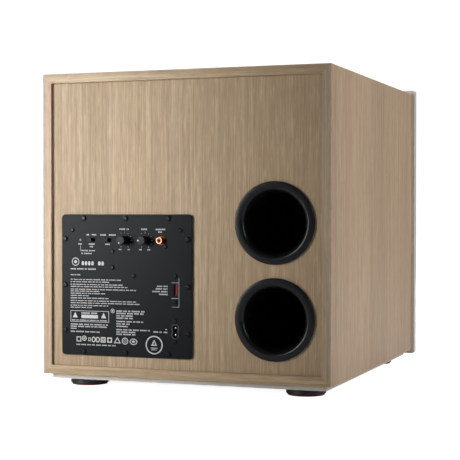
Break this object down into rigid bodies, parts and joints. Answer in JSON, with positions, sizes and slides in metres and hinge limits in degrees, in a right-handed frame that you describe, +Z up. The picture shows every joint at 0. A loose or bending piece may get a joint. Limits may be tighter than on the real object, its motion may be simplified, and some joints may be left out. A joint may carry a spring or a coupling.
{
  "type": "powered subwoofer",
  "caption": "Front-firing powered subwoofer: oak-veneered bass-reflex cabinet, rear ports and amplifier plate with working knobs and switches, pull-off cloth grille.",
  "frame": {"origin": "on the floor, under the middle of the whole object, knobs and grille included", "axes": "+Z up, the driver and its grille face -Y, the amplifier plate and the ports face +Y"},
  "size_m": [0.398, 0.4836, 0.409],
  "materials": {
    "oak_veneer": "matt lacquered oak veneer",
    "back_veneer": "matt lacquered oak veneer",
    "baffle_paint": "satin off-white paint on board",
    "raw_board": "bare fibreboard",
    "wadding": "polyester wadding",
    "plinth_paint": "satin light grey paint on board",
    "foot_plastic": "moulded black",
    "foot_rubber": "matt rubber",
    "steel_screw": "zinc plated",
    "port_plastic": "satin black moulding",
    "basket_paint": "black powder coat",
    "seal_foam": "closed-cell foam",
    "trim_rubber": "matt rubber",
    "surround_rubber": "satin rubber",
    "cone_paper": "coated pulp",
    "dust_cap_plastic": "satin black",
    "coil_copper": "enamelled copper",
    "spider_cloth": "resin-dipped cotton",
    "plated_steel": "zinc plated",
    "ferrite": "ground ferrite",
    "black_screw": "black oxide",
    "terminal_plastic": "moulded black",
    "lead_insulation": "soft insulation",
    "grille_board": "black painted fibreboard",
    "grille_fabric": "woven grey cloth",
    "cup_rubber": "moulded",
    "amp_paint": "fine-texture black paint with white print",
    "chassis_steel": "zinc coated sheet",
    "board_laminate": "solder-masked laminate",
    "transistor_plastic": "moulded epoxy",
    "sink_aluminium": "extruded",
    "capacitor_sleeve": "shrink sleeve",
    "transformer_tape": "polyester tape",
    "control_plastic": "moulded black",
    "shaft_metal": "turned",
    "knob_plastic": "satin black",
    "slider_plastic": "moulded black",
    "selector_red": "moulded red",
    "inlet_plastic": "moulded black",
    "pin_nickel": "nickel plated",
    "shell_gold": "gold plated",
    "core_red": "moulded dark red",
    "led_lens": "diffuse lens"
  },
  "bodies": {
    "cabinet": {"top_panel": "oak_veneer", "right_side_panel": "oak_veneer", "bottom_panel": "oak_veneer", "left_side_panel": "oak_veneer", "back_panel": "back_veneer", "front_baffle": "baffle_paint", "inner_baffle": "raw_board", "cross_brace": "raw_board", "damping_sheets": "wadding", "plinth": "plinth_paint", "feet": "foot_plastic", "foot_pads": "foot_rubber", "foot_screws": "steel_screw", "upper_port_flare": "port_plastic", "lower_port_flare": "port_plastic", "upper_port_tube": "port_plastic", "lower_port_tube": "port_plastic", "driver_basket": "basket_paint", "driver_seal": "seal_foam", "driver_trim_ring": "trim_rubber", "surround": "surround_rubber", "spider": "spider_cloth", "top_plate": "plated_steel", "magnet": "ferrite", "yoke": "plated_steel", "driver_screws": "black_screw", "driver_terminals": "terminal_plastic", "speaker_leads": "lead_insulation", "grille_cups": "cup_rubber", "amp_plate": "amp_paint", "amp_gasket": "seal_foam", "amp_plate_screws": "black_screw", "panel_screws": "black_screw", "amp_chassis": "chassis_steel", "circuit_board": "board_laminate", "output_transistors": "transistor_plastic", "heat_sink": "sink_aluminium", "filter_capacitors": "capacitor_sleeve", "transformer": "transformer_tape", "amp_fixings": "plated_steel", "potentiometers": "control_plastic", "slide_switch_bodies": "control_plastic", "voltage_selector_body": "control_plastic", "mains_inlet": "inlet_plastic", "mains_pins": "pin_nickel", "rca_shell": "shell_gold", "rca_insulator": "core_red", "status_led": "led_lens"},
    "crossover_control": {"crossover_knob": "knob_plastic", "crossover_shaft": "shaft_metal"},
    "volume_control": {"volume_knob": "knob_plastic", "volume_shaft": "shaft_metal"},
    "power_switch": {"power_switch_slider": "slider_plastic"},
    "phase_switch": {"phase_switch_slider": "slider_plastic"},
    "voltage_selector": {"voltage_selector_slider": "selector_red"},
    "moving_cone": {"cone": "cone_paper", "dust_cap": "dust_cap_plastic", "voice_coil": "coil_copper"},
    "grille": {"grille_frame": "grille_board", "grille_cloth": "grille_fabric"}
  },
  "joints": [
    {"name": "crossover_turn", "type": "hinge", "parent": "cabinet", "child": "crossover_control", "pos_m": [0.0779, 0.22825, 0.1903], "axis": [0, -1, 0], "range_deg": [0, 300]},
    {"name": "volume_turn", "type": "hinge", "parent": "cabinet", "child": "volume_control", "pos_m": [0.0495, 0.22825, 0.1903], "axis": [0, -1, 0], "range_deg": [-60, 240]},
    {"name": "power_slide", "type": "slide", "parent": "cabinet", "child": "power_switch", "axis": [-1, 0, 0], "range_m": [0, 0.0044]},
    {"name": "phase_slide", "type": "slide", "parent": "cabinet", "child": "phase_switch", "axis": [-1, 0, 0], "range_m": [0, 0.0044]},
    {"name": "voltage_slide", "type": "slide", "parent": "cabinet", "child": "voltage_selector", "axis": [0, 0, -1], "range_m": [0, 0.005]},
    {"name": "cone_travel", "type": "slide", "parent": "cabinet", "child": "moving_cone", "axis": [0, -1, 0], "range_m": [-0.01, 0.01], "stiffness_N_per_m": 2000, "deforming": ["surround", "spider"]},
    {"name": "grille_pull", "type": "slide", "parent": "cabinet", "child": "grille", "axis": [0, -1, 0], "range_m": [0, 0.08]}
  ]
}
